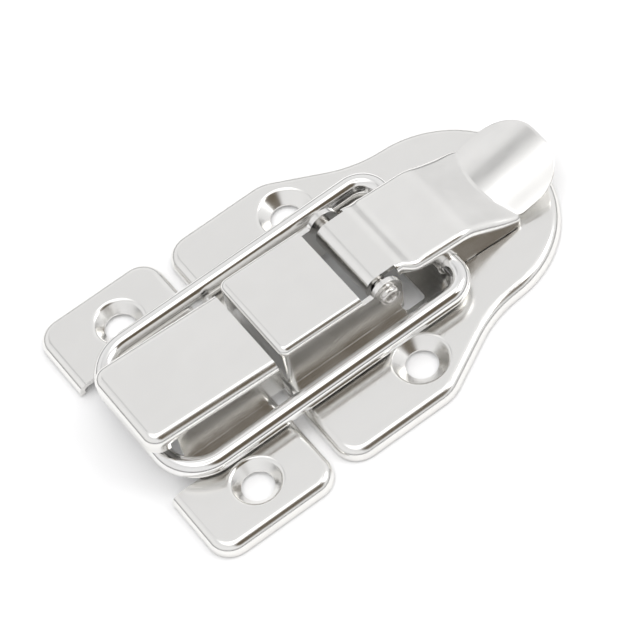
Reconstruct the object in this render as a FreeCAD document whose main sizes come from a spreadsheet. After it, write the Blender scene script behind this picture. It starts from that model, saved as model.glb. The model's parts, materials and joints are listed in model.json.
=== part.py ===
"""Large pressed-steel toggle latch: base plate with hump, keeper plate with hook,
wire loop, lever and tubular pivot pin.  Millimetres, +Z up, drawn closed.

Along X the latch is drawn from the free edge of the keeper (x = 0) to the tip of
the lever; every sub-part is then placed half that length to the left, so that the
origin is the middle of the underside of the whole latch.
"""
import FreeCAD, Part
import math
import os
import Sketcher
from FreeCAD import Vector

doc = FreeCAD.newDocument("toggle_latch")

# ---------------------------------------------------------------- driving sizes
SIZES = [
    ("gauge", 1.1, "sheet thickness of both plates and of the lever"),
    ("pan_height", 2.7, "height of the turned-down rim of both plates"),
    ("rim_radius", 1.5, "outer bend of that rim"),
    ("box_width", 21.6, "outside width of the hook box and of the hump"),
    ("box_radius", 1.5, "outer bend along the box and hump tops"),
    ("keeper_length", 27.3, "keeper plate along X"),
    ("keeper_width", 65.0, "keeper plate along Y"),
    ("keeper_corner", 4.8, "plan radius of the keeper's corners"),
    ("notch_width", 31.4, "notch between the keeper's ears, for the loop"),
    ("nose_start", 1.15, "outer face of the hook's nose"),
    ("nose_height", 13.3, "top of the hook at the nose"),
    ("nose_corner", 3.4, "plan radius of the nose's corners"),
    ("hook_sill", 0.9, "gap between the overhanging box and the base plate's level"),
    ("nose_side", 4.0, "length of the nose's side lips"),
    ("relief_height", 10.6, "top of the relief slots behind the nose"),
    ("hook_end_height", 11.3, "top of the hook box at its inner end"),
    ("hook_overhang", 2.5, "reach of the hook box past its plate"),
    ("bar_lift", 1.7, "room above the loop's bar under the nose"),
    ("toggle_slack", 1.1, "play behind the bar while it passes dead centre"),
    ("plate_gap", 2.35, "gap between the two plates"),
    ("base_width", 63.3, "base plate along Y"),
    ("base_corner", 5.0, "plan radius of the base plate's square corners"),
    ("shoulder_x", 53.6, "where the straight sides of the base plate end"),
    ("shoulder_angle", 29.0, "slope of the sides behind the shoulders, degrees"),
    ("shoulder_radius", 8.0, "plan radius of the shoulders"),
    ("blend_radius", 25.0, "hollow curve into the round tail"),
    ("tail_centre", 75.0, "centre of the round tail"),
    ("tail_radius", 22.25, "radius of the round tail"),
    ("keeper_hole_x", 14.35, "screw holes in the keeper"),
    ("keeper_pitch", 46.1, "their spacing"),
    ("keeper_sink", 10.0, "rim of their countersinks"),
    ("base_hole_x", 53.06, "screw holes in the base plate"),
    ("base_pitch", 44.2, "their spacing"),
    ("base_sink", 11.2, "rim of their countersinks"),
    ("screw_hole", 6.4, "bore of all four screw holes"),
    ("dimple_wall", 0.9, "sheet left round the countersinks"),
    ("sink_floor", 0.6, "height of the bottom edge of the countersinks"),
    ("hump_gap", 1.25, "base plate edge to hump wall"),
    ("hump_length", 18.5, "closed top of the hump"),
    ("hump_start_height", 13.6, "top of the hump beside the hook"),
    ("hump_end_height", 12.8, "top of the hump beside the lever"),
    ("wall_height", 11.4, "side walls between hump and pivot ears"),
    ("pivot_x", 55.0, "pivot pin"),
    ("pivot_height", 10.0, "pivot pin above the mounting plane"),
    ("ear_radius", 3.4, "round of the pivot ears"),
    ("ear_taper", 0.9, "lean of the ears' rear edge"),
    ("window_start", 57.2, "window in the base plate under the lever"),
    ("window_length", 4.8, "along X"),
    ("window_width", 23.6, "along Y"),
    ("pin_diameter", 3.2, "tubular pivot pin"),
    ("pin_bore", 1.8, "its bore"),
    ("head_diameter", 4.4, "its rolled-over ends"),
    ("head_height", 1.3, "how far they stand out"),
    ("pin_clearance", 0.05, "radial play of the lever's knuckle on the pin"),
    ("wire_diameter", 4.0, "loop wire"),
    ("bar_x", 3.7, "loop's hook bar, centre"),
    ("loop_height", 5.6, "loop's centre line above the mounting plane"),
    ("loop_width", 33.4, "between the centres of the loop's sides"),
    ("hook_bend", 8.0, "centre-line bends at the hook bar"),
    ("lever_bend", 4.6, "centre-line bends at the lever bar"),
    ("pivot_bar_x", 69.2, "loop's bar in the lever, centre"),
    ("bar_clearance", 0.06, "radial play of that bar in the lever's lugs"),
    ("lug_wall", 0.7, "metal round the bar"),
    ("knuckle_width", 16.6, "rolled eye of the lever"),
    ("pad_length", 5.5, "raised pad behind the eye"),
    ("pad_width", 18.7, "outside width there"),
    ("joggle_length", 1.7, "slope down from the pad"),
    ("joggle_drop", 1.5, "its height"),
    ("flat_end_x", 74.0, "end of the long flat"),
    ("flat_end_height", 10.3, "its height there"),
    ("flat_width", 20.6, "outside width there"),
    ("heel_x", 85.3, "crease between the sloping part and the thumb lip"),
    ("heel_height", 4.8, "height of the crease"),
    ("heel_width", 21.6, "width at the crease"),
    ("skirt_flare", 0.9, "how far the side skirts lean out at the bottom"),
    ("skirt_start", 71.9, "front edge of the skirts"),
    ("skirt_clearance", 0.25, "skirts above the base plate"),
    ("flange_depth", 2.3, "depth of the flanges in front of the lugs"),
    ("lip_tip_x", 99.0, "tip of the thumb lip"),
    ("lip_width", 20.2, "width of the thumb lip"),
    ("lip_corner", 8.1, "plan radius of the lip's corners"),
    ("lip_root_x", 83.0, "where its ridge leaves the slope"),
    ("lip_root_height", 5.8, "height of the ridge there"),
    ("lip_rise", 10.8, "upward slope of the ridge, degrees"),
    ("lip_arch", 29.0, "radius of the lip's arch from side to side"),
    ("lip_overlap", 0.6, "length of the lip that lies under the slope"),
]

sheet = doc.addObject("Spreadsheet::Sheet", "Dims")
for row, (alias, value, note) in enumerate(SIZES, start=1):
    sheet.set(f"A{row}", note)
    sheet.set(f"B{row}", str(value))
    sheet.setAlias(f"B{row}", alias)
doc.recompute()


def value(text):
    """Number that an expression over the sheet gives now."""
    result = sheet.evalExpression(text)
    return float(getattr(result, "Value", result))


# Places that several sub-parts share.
BEARING_X = "(Dims.bar_x + Dims.wire_diameter / 2 + Dims.toggle_slack)"
NOSE_BOTTOM = "(Dims.loop_height + Dims.wire_diameter / 2 + Dims.bar_lift)"
HOOK_END_X = "(Dims.keeper_length + Dims.hook_overhang)"
BASE_START_X = "(Dims.keeper_length + Dims.plate_gap)"
HUMP_START_X = f"({BASE_START_X} + Dims.hump_gap)"
HUMP_END_X = f"({HUMP_START_X} + Dims.hump_length)"
KNUCKLE_R = "(Dims.pin_diameter / 2 + Dims.pin_clearance + Dims.gauge)"
PAD_HEIGHT = f"(Dims.pivot_height + {KNUCKLE_R})"
SKIRT_BOTTOM = "(Dims.pan_height + Dims.skirt_clearance)"
CENTRE_SHIFT = "-Dims.lip_tip_x / 2"
BELOW = "(0 - 1)"
OVERHEAD = "(Dims.nose_height + Dims.hump_start_height)"


# ---------------------------------------------------------------- small helpers
def new_body(label):
    body = doc.addObject("PartDesign::Body", label)
    body.Label = label
    return body


def new_sketch(body, name, role, offset=None):
    """Sketch on one of the body's own origin planes, moved along its normal."""
    plane = next(f for f in body.Origin.OriginFeatures if f.Role == role)
    sketch = body.newObject("Sketcher::SketchObject", name)
    sketch.AttachmentSupport = [(plane, "")]
    sketch.MapMode = "FlatFace"
    if offset:
        sketch.setExpression("AttachmentOffset.Base.z", offset)
    return sketch


def pin_point(sketch, geometry, end, x_text, y_text):
    """Tie one end of a geometry element to expressions for its x and y."""
    for kind, axis, text in (("DistanceX", -2, x_text), ("DistanceY", -1, y_text)):
        size = value(text)
        if abs(size) < 1e-9:
            sketch.addConstraint(Sketcher.Constraint("PointOnObject", geometry, end, axis))
            continue
        index = sketch.addConstraint(Sketcher.Constraint(kind, -1, 1, geometry, end, size))
        sketch.setExpression(f"Constraints[{index}]", text)


def polygon(sketch, points):
    """Closed outline whose corners are pairs of expressions."""
    spots = [Vector(value(x), value(y), 0) for x, y in points]
    count = len(spots)
    for index in range(count):
        sketch.addGeometry(Part.LineSegment(spots[index], spots[(index + 1) % count]))
    for index in range(count):
        following = (index + 1) % count
        sketch.addConstraint(Sketcher.Constraint("Coincident", index, 2, following, 1))
    for index, (x_text, y_text) in enumerate(points):
        pin_point(sketch, index, 1, x_text, y_text)


def pad(body, sketch, length, both_sides=False):
    feature = body.newObject("PartDesign::Pad", sketch.Name + "_pad")
    feature.Profile = sketch
    feature.Midplane = both_sides
    feature.setExpression("Length", length)
    doc.recompute()
    return feature


def bend(body, name, radius, chosen):
    """Round those edges of the body that the test picks."""
    tip = body.Tip
    picked = [f"Edge{i}" for i, edge in enumerate(tip.Shape.Edges, start=1)
              if chosen(edge, edge.BoundBox)]
    if not picked:
        raise RuntimeError(f"{name} finds no edge")
    feature = body.newObject("PartDesign::Fillet", name)
    feature.Base = (tip, picked)
    feature.setExpression("Radius", radius)
    doc.recompute()
    return feature


def near(a, b, slack=0.02):
    return abs(a - b) < slack


def upright(box):
    return box.XLength < 0.01 and box.YLength < 0.01 and box.ZLength > 0.3


def level(box, height):
    return near(box.ZMin, height) and near(box.ZMax, height)


def side_plate(label, name, points, width):
    """Block of one side view, centred on the middle plane."""
    body = new_body(label)
    sketch = new_sketch(body, name, "XZ_Plane")
    polygon(sketch, points)
    pad(body, sketch, width, both_sides=True)
    return body


def combine(kind, label, first, others):
    """Boolean of finished solids: Cut takes the others off the first."""
    if kind == "Cut":
        tool = others[0]
        if len(others) > 1:
            tool = doc.addObject("Part::MultiFuse", label + "_tools")
            tool.Shapes = others
        result = doc.addObject("Part::Cut", label)
        result.Base = first
        result.Tool = tool
    else:
        result = doc.addObject("Part::MultiFuse", label)
        result.Shapes = [first] + others
        result.Refine = True
    result.Label = label
    doc.recompute()
    return result


def primitive(kind, name, sizes, x_text="0", y_text="0", z_text="0", turn=None):
    """Part primitive with bound sizes and place; turn is (axis, degrees)."""
    solid = doc.addObject("Part::" + kind, name)
    if turn:
        solid.Placement.Rotation = FreeCAD.Rotation(turn[0], turn[1])
    for prop, text in sizes.items():
        solid.setExpression(prop, text)
    for axis, text in zip("xyz", (x_text, y_text, z_text)):
        solid.setExpression(f"Placement.Base.{axis}", text)
    return solid


X_AXIS = Vector(1, 0, 0)


def across(name, radius, half_width, x_text, z_text):
    """Round bar along Y, centred on the middle plane."""
    sizes = {"Radius": radius, "Height": f"2 * {half_width}"}
    return primitive("Cylinder", name, sizes, x_text, half_width, z_text, (X_AXIS, 90))


def countersunk_pair(tag, x_text, pitch, sink):
    """Dimples of pressed-down sheet for two screws, and what is cut from them."""
    depth = "(Dims.pan_height - Dims.sink_floor)"
    dimples = []
    hollows = []
    for side, sign in (("far", ""), ("near", "-")):
        y_text = f"{sign}{pitch} / 2"
        dimples.append(primitive("Cone", f"{tag}_{side}_dimple", {
            "Radius1": "Dims.screw_hole / 2 + Dims.dimple_wall",
            "Radius2": f"{sink} / 2 + Dims.dimple_wall",
            "Height": f"{depth} - 0.1"}, x_text, y_text, "Dims.sink_floor - 0.3"))
        hollows.append(primitive("Cone", f"{tag}_{side}_sink", {
            "Radius1": "Dims.screw_hole / 2", "Radius2": f"{sink} / 2",
            "Height": depth}, x_text, y_text, "Dims.sink_floor"))
        hollows.append(primitive("Cylinder", f"{tag}_{side}_bore", {
            "Radius": "Dims.screw_hole / 2", "Height": "Dims.pan_height"},
            x_text, y_text, BELOW))
    return dimples, hollows


# ---------------------------------------------------------------- keeper plate
def keeper_plan(body, name, inset, floor, height):
    """Pan of the keeper, drawn in by the inset, from the floor up."""
    half = f"(Dims.keeper_width / 2 - {inset})"
    sketch = new_sketch(body, name, "XY_Plane", floor)
    right = f"(Dims.keeper_length - {inset})"
    polygon(sketch, [(inset, half), (right, half), (right, "-" + half), (inset, "-" + half)])
    pad(body, sketch, height)
    bend(body, name + "_corners", f"Dims.keeper_corner - {inset}", lambda e, b: upright(b))


def hook_block(body, name, inset, points):
    """Solid of the hook box with its rounded nose, drawn in by the inset."""
    sketch = new_sketch(body, name, "XZ_Plane")
    polygon(sketch, points)
    pad(body, sketch, f"Dims.box_width - 2 * {inset}", both_sides=True)
    nose = value(f"Dims.nose_start + {inset}")
    bend(body, name + "_corners", f"Dims.nose_corner - {inset}",
         lambda e, b: upright(b) and near(b.XMin, nose))
    low = value(f"Dims.hook_end_height - {inset}")
    far = max(value(x) for x, z in points)
    bend(body, name + "_edges", f"Dims.box_radius - {inset}",
         lambda e, b: b.ZMin > low - 0.3 and b.XMin < far - 0.05 and not upright(b))


def build_keeper():
    skin = new_body("keeper_skin")
    hook_block(skin, "hook_side", "0", [
        ("Dims.nose_start", NOSE_BOTTOM), ("Dims.nose_start", "Dims.nose_height"),
        (HOOK_END_X, "Dims.hook_end_height"), (HOOK_END_X, "Dims.pan_height + Dims.hook_sill"),
        ("Dims.keeper_length - Dims.rim_radius", "Dims.pan_height + Dims.hook_sill"),
        ("Dims.keeper_length - Dims.rim_radius", "Dims.pan_height - Dims.gauge"),
        (BEARING_X, "Dims.pan_height - Dims.gauge"), (BEARING_X, NOSE_BOTTOM)])
    plate = new_body("keeper_pan")
    keeper_plan(plate, "keeper_outline", "0", "0", "Dims.pan_height")
    top = value("Dims.pan_height")
    bend(plate, "keeper_rim", "Dims.rim_radius", lambda e, b: level(b, top))
    outer = combine("Fuse", "keeper_outside", plate, [skin])
    pan_core = new_body("keeper_pan_core")
    keeper_plan(pan_core, "keeper_hollow", "Dims.gauge", BELOW, "Dims.pan_height - Dims.gauge + 1")
    ceiling = value("Dims.pan_height - Dims.gauge")
    bend(pan_core, "keeper_hollow_rim", "Dims.rim_radius - Dims.gauge",
         lambda e, b: level(b, ceiling))
    hook_core = new_body("hook_core")
    hook_block(hook_core, "hook_tunnel", "Dims.gauge", [
        ("Dims.nose_start + Dims.gauge", BELOW),
        ("Dims.nose_start + Dims.gauge", "Dims.nose_height - Dims.gauge"),
        (HOOK_END_X + " + 1", "Dims.hook_end_height - Dims.gauge"),
        (HOOK_END_X + " + 1", BELOW)])
    notch = primitive("Box", "keeper_notch", {
        "Length": f"{BEARING_X} + 1", "Width": "Dims.notch_width", "Height": "Dims.pan_height + 1.5"},
        BELOW, "-Dims.notch_width / 2", BELOW)
    relief = primitive("Box", "nose_relief", {
        "Length": f"{BEARING_X} - Dims.nose_start - Dims.nose_side", "Width": "Dims.box_width + 2",
        "Height": "Dims.relief_height - Dims.pan_height"},
        "Dims.nose_start + Dims.nose_side", "-Dims.box_width / 2 - 1", "Dims.pan_height")
    shell = combine("Cut", "keeper_shell", outer, [pan_core, hook_core, notch, relief])
    dimples, hollows = countersunk_pair("keeper", "Dims.keeper_hole_x", "Dims.keeper_pitch",
                                        "Dims.keeper_sink")
    dimpled = combine("Fuse", "keeper_dimpled", shell, dimples)
    return combine("Cut", "keeper_plate", dimpled, hollows)


# ---------------------------------------------------------------- base plate
def tail_plan(body, name, inset, floor, height):
    """Base plate outline: square front, straight sides, sloping shoulders, round tail."""
    slope = "(Dims.shoulder_angle * 1 deg)"
    start = f"({BASE_START_X} + {inset})"
    half = f"(Dims.base_width / 2 - {inset})"
    shoulder = f"(Dims.shoulder_x - {inset} * tan({slope} / 2))"
    radius = f"(Dims.tail_radius - {inset})"
    run = f"(Dims.tail_centre - {shoulder})"
    along = f"({run} * cos({slope}) + {half} * sin({slope}))"
    aside = f"({run} * sin({slope}) - {half} * cos({slope}))"
    reach = f"({along} - sqrt({radius} * {radius} - {aside} * {aside}))"
    meet_x = f"({shoulder} + {reach} * cos({slope}))"
    meet_y = f"({half} - {reach} * sin({slope}))"
    sketch = new_sketch(body, name, "XY_Plane", floor)
    path = [(meet_x, meet_y), (shoulder, half), (start, half), (start, "-" + half),
            (shoulder, "-" + half), (meet_x, "-" + meet_y)]
    spots = [Vector(value(x), value(y), 0) for x, y in path]
    for first, second in zip(spots[:-1], spots[1:]):
        sketch.addGeometry(Part.LineSegment(first, second))
    centre = Vector(value("Dims.tail_centre"), 0, 0)
    turn = math.atan2(spots[0].y, spots[0].x - centre.x)
    ring = Part.Circle(centre, Vector(0, 0, 1), value(radius))
    tail = sketch.addGeometry(Part.ArcOfCircle(ring, -turn, turn))
    for line in range(4):
        sketch.addConstraint(Sketcher.Constraint("Coincident", line, 2, line + 1, 1))
    sketch.addConstraint(Sketcher.Constraint("Coincident", 4, 2, tail, 1))
    sketch.addConstraint(Sketcher.Constraint("Coincident", tail, 2, 0, 1))
    for line, (x_text, y_text) in enumerate(path[:5]):
        pin_point(sketch, line, 1, x_text, y_text)
    pin_point(sketch, tail, 1, *path[5])
    index = sketch.addConstraint(Sketcher.Constraint("Radius", tail, value(radius)))
    sketch.setExpression(f"Constraints[{index}]", radius)
    pad(body, sketch, height)
    front = value(start)
    elbow = value(shoulder)
    hollow = value(meet_x)
    bend(body, name + "_corners", f"Dims.base_corner - {inset}",
         lambda e, b: upright(b) and near(b.XMin, front))
    bend(body, name + "_shoulders", f"Dims.shoulder_radius - {inset}",
         lambda e, b: upright(b) and near(b.XMin, elbow))
    bend(body, name + "_waist", f"Dims.blend_radius + {inset}",
         lambda e, b: upright(b) and near(b.XMin, hollow))


def hump_block(body, name, inset, points):
    sketch = new_sketch(body, name, "XZ_Plane")
    polygon(sketch, points)
    pad(body, sketch, f"Dims.box_width - 2 * {inset}", both_sides=True)
    front = value(f"{HUMP_START_X} + {inset}")
    end = value(HUMP_END_X)
    low = value(f"Dims.hump_end_height - {inset}")
    bend(body, name + "_corners", f"Dims.box_radius - {inset}",
         lambda e, b: upright(b) and near(b.XMin, front))
    bend(body, name + "_edges", f"Dims.box_radius - {inset}",
         lambda e, b: b.ZMin > low - 0.6 and b.XMax < end + 0.02 and b.XMin < end - 0.05
         and not upright(b) and b.ZMax < value(OVERHEAD) - 1)


def build_base():
    plate = new_body("base_pan")
    tail_plan(plate, "base_outline", "0", "0", "Dims.pan_height")
    top = value("Dims.pan_height")
    bend(plate, "base_rim", "Dims.rim_radius", lambda e, b: level(b, top))
    hump = new_body("hump_skin")
    hump_block(hump, "hump_side", "0", [
        (HUMP_START_X, "Dims.pan_height - Dims.gauge"), (HUMP_START_X, "Dims.hump_start_height"),
        (HUMP_END_X, "Dims.hump_end_height"), (HUMP_END_X, "Dims.wall_height"),
        ("Dims.pivot_x", "Dims.wall_height"),
        ("Dims.pivot_x + Dims.ear_radius", "Dims.pivot_height"),
        ("Dims.pivot_x + Dims.ear_radius - Dims.ear_taper", "Dims.pan_height - Dims.gauge")])
    ears = across("ear_rounds", "Dims.ear_radius", "Dims.box_width / 2", "Dims.pivot_x",
                  "Dims.pivot_height")
    outer = combine("Fuse", "base_outside", plate, [hump, ears])
    pan_core = new_body("base_pan_core")
    tail_plan(pan_core, "base_hollow", "Dims.gauge", BELOW, "Dims.pan_height - Dims.gauge + 1")
    ceiling = value("Dims.pan_height - Dims.gauge")
    bend(pan_core, "base_hollow_rim", "Dims.rim_radius - Dims.gauge",
         lambda e, b: level(b, ceiling))
    hump_core = new_body("hump_core")
    hump_block(hump_core, "hump_tunnel", "Dims.gauge", [
        (HUMP_START_X + " + Dims.gauge", BELOW),
        (HUMP_START_X + " + Dims.gauge", "Dims.hump_start_height - Dims.gauge"),
        (HUMP_END_X, "Dims.hump_end_height - Dims.gauge"), (HUMP_END_X, OVERHEAD),
        ("Dims.pivot_x + Dims.ear_radius + 1", OVERHEAD),
        ("Dims.pivot_x + Dims.ear_radius + 1", BELOW)])
    window = primitive("Box", "base_window", {
        "Length": "Dims.window_length", "Width": "Dims.window_width",
        "Height": "Dims.pan_height + 1.2"}, "Dims.window_start", "-Dims.window_width / 2", BELOW)
    pin_hole = across("pin_hole", "Dims.pin_diameter / 2 + 0.01", "(Dims.box_width / 2 + 1)",
                      "Dims.pivot_x", "Dims.pivot_height")
    shell = combine("Cut", "base_shell", outer, [pan_core, hump_core, window, pin_hole])
    dimples, hollows = countersunk_pair("base", "Dims.base_hole_x", "Dims.base_pitch",
                                        "Dims.base_sink")
    dimpled = combine("Fuse", "base_dimpled", shell, dimples)
    return combine("Cut", "base_plate", dimpled, hollows)


# ---------------------------------------------------------------- pivot pin
def build_pin():
    ear_face = "Dims.box_width / 2"
    shank = across("pin_shank", "Dims.pin_diameter / 2", f"({ear_face} + Dims.head_height)",
                   "Dims.pivot_x", "Dims.pivot_height")
    heads = []
    for side, sign, angle in (("far", "", -90), ("near", "-", 90)):
        heads.append(primitive("Cone", f"pin_{side}_head", {
            "Radius1": "Dims.head_diameter / 2", "Radius2": "Dims.head_diameter / 2 - 0.35",
            "Height": "Dims.head_height"}, "Dims.pivot_x", f"{sign}{ear_face}",
            "Dims.pivot_height", (X_AXIS, angle)))
    solid = combine("Fuse", "pin_solid", shank, heads)
    bore = across("pin_bore_hole", "Dims.pin_bore / 2", f"({ear_face} + Dims.head_height + 1)",
                  "Dims.pivot_x", "Dims.pivot_height")
    return combine("Cut", "pivot_pin", solid, [bore])


# ---------------------------------------------------------------- wire loop
def build_loop():
    """Rounded rectangle of wire: four straight runs and four quarter rings."""
    wire = "Dims.wire_diameter / 2"
    half = "Dims.loop_width / 2"
    pieces = []
    for side, sign in (("far", ""), ("near", "-")):
        y_text = f"{sign}{half}"
        pieces.append(primitive("Cylinder", f"loop_{side}_side", {
            "Radius": wire,
            "Height": "Dims.pivot_bar_x - Dims.lever_bend - Dims.bar_x - Dims.hook_bend"},
            "Dims.bar_x + Dims.hook_bend", y_text, "Dims.loop_height", (Vector(0, 1, 0), 90)))
    for tag, x_text, radius in (("hook", "Dims.bar_x", "Dims.hook_bend"),
                                ("lever", "Dims.pivot_bar_x", "Dims.lever_bend")):
        pieces.append(across(f"loop_{tag}_bar", wire, f"({half} - {radius})", x_text,
                             "Dims.loop_height"))
    quarters = (("hook", "far", "Dims.bar_x + Dims.hook_bend", "", 90),
                ("hook", "near", "Dims.bar_x + Dims.hook_bend", "-", 180),
                ("lever", "near", "Dims.pivot_bar_x - Dims.lever_bend", "-", 270),
                ("lever", "far", "Dims.pivot_bar_x - Dims.lever_bend", "", 0))
    for tag, side, x_text, sign, turn in quarters:
        radius = f"Dims.{tag}_bend"
        pieces.append(primitive("Torus", f"loop_{tag}_{side}_bend", {
            "Radius1": radius, "Radius2": wire, "Angle3": "90"},
            x_text, f"{sign}({half} - {radius})", "Dims.loop_height", (Vector(0, 0, 1), turn)))
    return combine("Fuse", "wire_loop", pieces[0], pieces[1:])


# ---------------------------------------------------------------- lever
def lever_stations():
    """Cross-sections along the lever: x, height of the top, width of the top."""
    pad_end = "(Dims.pivot_x + Dims.pad_length)"
    step_end = f"({pad_end} + Dims.joggle_length)"
    step_height = f"({PAD_HEIGHT} - Dims.joggle_drop)"
    return [("Dims.pivot_x", PAD_HEIGHT, "Dims.pad_width"),
            (pad_end, PAD_HEIGHT, "Dims.pad_width"),
            (step_end, step_height, "(Dims.pad_width + 0.7)"),
            (f"({step_end} + 4)", f"({step_height} - 0.4)", "Dims.flat_width"),
            ("Dims.flat_end_x", "Dims.flat_end_height", "Dims.flat_width"),
            ("Dims.heel_x", "Dims.heel_height", "Dims.heel_width")]


def lever_loft(label, inset, drop):
    """Lever body as a chain of flat-sided sections, drawn in by the inset."""
    body = new_body(label)
    sections = []
    for index, (x_text, z_text, width) in enumerate(lever_stations()):
        sketch = new_sketch(body, f"{label}_section_{index}", "YZ_Plane", x_text)
        top = f"({width} / 2 - {inset})"
        bottom = f"({top} + Dims.skirt_flare * {index} / 5)"
        floor = SKIRT_BOTTOM if drop == "0" else "0.5"
        height = f"({z_text} - {drop})"
        polygon(sketch, [(bottom, floor), (top, height), ("-" + top, height), ("-" + bottom, floor)])
        sections.append(sketch)
    doc.recompute()
    loft = body.newObject("PartDesign::AdditiveLoft", label + "_loft")
    loft.Profile = sections[0]
    loft.Sections = sections[1:]
    loft.Ruled = True
    doc.recompute()
    return body


def build_lever():
    skin = lever_loft("lever_skin", "0", "0")
    core = lever_loft("lever_core", "Dims.gauge", "(Dims.gauge * 1.05)")
    lug_r = "(Dims.wire_diameter / 2 + Dims.bar_clearance + Dims.lug_wall)"
    step_z = f"({PAD_HEIGHT} - Dims.joggle_drop - Dims.flange_depth)"
    under = side_plate("flange_cutter", "flange_edge", [
        ("Dims.pivot_x - 1", "0.5"), ("Dims.pivot_x - 1", f"{PAD_HEIGHT} - Dims.flange_depth"),
        ("Dims.pivot_x + Dims.pad_length", f"{PAD_HEIGHT} - Dims.flange_depth"),
        (f"Dims.pivot_bar_x - {lug_r} - 0.6", step_z),
        (f"Dims.pivot_bar_x - {lug_r}", "Dims.loop_height + 1"),
        (f"Dims.pivot_bar_x - {lug_r}", "Dims.loop_height"),
        (f"Dims.pivot_bar_x + {lug_r}", "Dims.loop_height"),
        ("Dims.skirt_start", "Dims.loop_height"), ("Dims.skirt_start", "0.5")],
        "Dims.flat_width + 10")
    shell = combine("Cut", "lever_shell", skin, [core, under])
    lug_half = "(Dims.flat_width / 2)"
    lugs = across("lever_lugs", lug_r, lug_half, "Dims.pivot_bar_x", "Dims.loop_height")
    between = across("between_lugs", f"({lug_r} + 1)", f"({lug_half} - Dims.gauge)",
                     "Dims.pivot_bar_x", "Dims.loop_height")
    lug_rings = combine("Cut", "lug_rings", lugs, [between])
    knuckle = across("knuckle_roll", KNUCKLE_R, "(Dims.knuckle_width / 2)", "Dims.pivot_x",
                     "Dims.pivot_height")

    blank = new_body("lip_blank")
    outline = new_sketch(blank, "lip_outline", "XY_Plane", "Dims.pan_height")
    half = "Dims.lip_width / 2"
    root = "(Dims.lip_root_x - Dims.lip_overlap)"
    polygon(outline, [(root, half), ("Dims.lip_tip_x", half), ("Dims.lip_tip_x", "-" + half),
                      (root, "-" + half)])
    pad(blank, outline, "Dims.nose_height")
    tip = value("Dims.lip_tip_x")
    bend(blank, "lip_corners", "Dims.lip_corner", lambda e, b: upright(b) and near(b.XMin, tip))
    rise = "(Dims.lip_rise * 1 deg)"
    back = "Dims.lip_corner"
    arch = {"Height": "Dims.lip_tip_x - Dims.lip_root_x + 3 * Dims.lip_corner"}
    place = (f"Dims.lip_root_x + Dims.lip_arch * sin({rise}) - {back} * cos({rise})", "0",
             f"Dims.lip_root_height - Dims.lip_arch * cos({rise}) - {back} * sin({rise})")
    turn = (Vector(0, 1, 0), 90 - value("Dims.lip_rise"))
    face = primitive("Cylinder", "lip_top_face", {"Radius": "Dims.lip_arch", **arch}, *place, turn)
    under_face = primitive("Cylinder", "lip_under_face",
                           {"Radius": "Dims.lip_arch - Dims.gauge", **arch}, *place, turn)
    bow = combine("Cut", "lip_bow", face, [under_face])
    lip = doc.addObject("Part::Common", "thumb_lip")
    lip.Base = blank
    lip.Tool = bow
    doc.recompute()

    solid = combine("Fuse", "lever_solid", shell, [lug_rings, knuckle, lip])
    bores = [across("knuckle_bore", "Dims.pin_diameter / 2 + Dims.pin_clearance",
                    "Dims.knuckle_width", "Dims.pivot_x", "Dims.pivot_height"),
             across("lug_bore", "Dims.wire_diameter / 2 + Dims.bar_clearance",
                    "Dims.flat_width", "Dims.pivot_bar_x", "Dims.loop_height")]
    floor = primitive("Box", "plate_clearance", {
        "Length": "Dims.lip_tip_x", "Width": "Dims.base_width", "Height": SKIRT_BOTTOM},
        "0", "-Dims.base_width / 2", "0")
    return combine("Cut", "lever", solid, bores + [floor])


# ---------------------------------------------------------------- build and write
parts = [build_keeper(), build_base(), build_pin(), build_loop(), build_lever()]
for item in parts:
    item.setExpression("Placement.Base.x", CENTRE_SHIFT)
doc.recompute()

for item in doc.Objects:
    if "Invalid" in item.State or "Error" in item.State:
        raise RuntimeError(f"{item.Name} failed: {item.State}")

os.makedirs("parts", exist_ok=True)
for item in parts:
    shape = item.Shape
    if shape.isNull() or not shape.isValid() or len(shape.Solids) != 1:
        raise RuntimeError(f"{item.Label} is not one valid solid")
    shape.exportStep(os.path.join("parts", item.Label + ".step"))
    box = shape.BoundBox
    print(f"{item.Label}: {box.XLength:.1f} x {box.YLength:.1f} x {box.ZLength:.1f} mm,"
          f" {shape.Volume / 1000:.2f} cm3")
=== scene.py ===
# %% [markdown]
# # A pressed-steel toggle latch
#
# The latch is five pieces of nickel-plated steel: a keeper plate with a hooked box, a
# base plate with a raised hump and two ears, a tubular pin, a folded lever and a loop of
# wire. The CAD frame gives their places and how they move. Here each piece is modelled
# again with the soft bends, rolled rims and sheared edges that pressing leaves, because
# on bright metal it is the bends that the eye sees.

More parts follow.
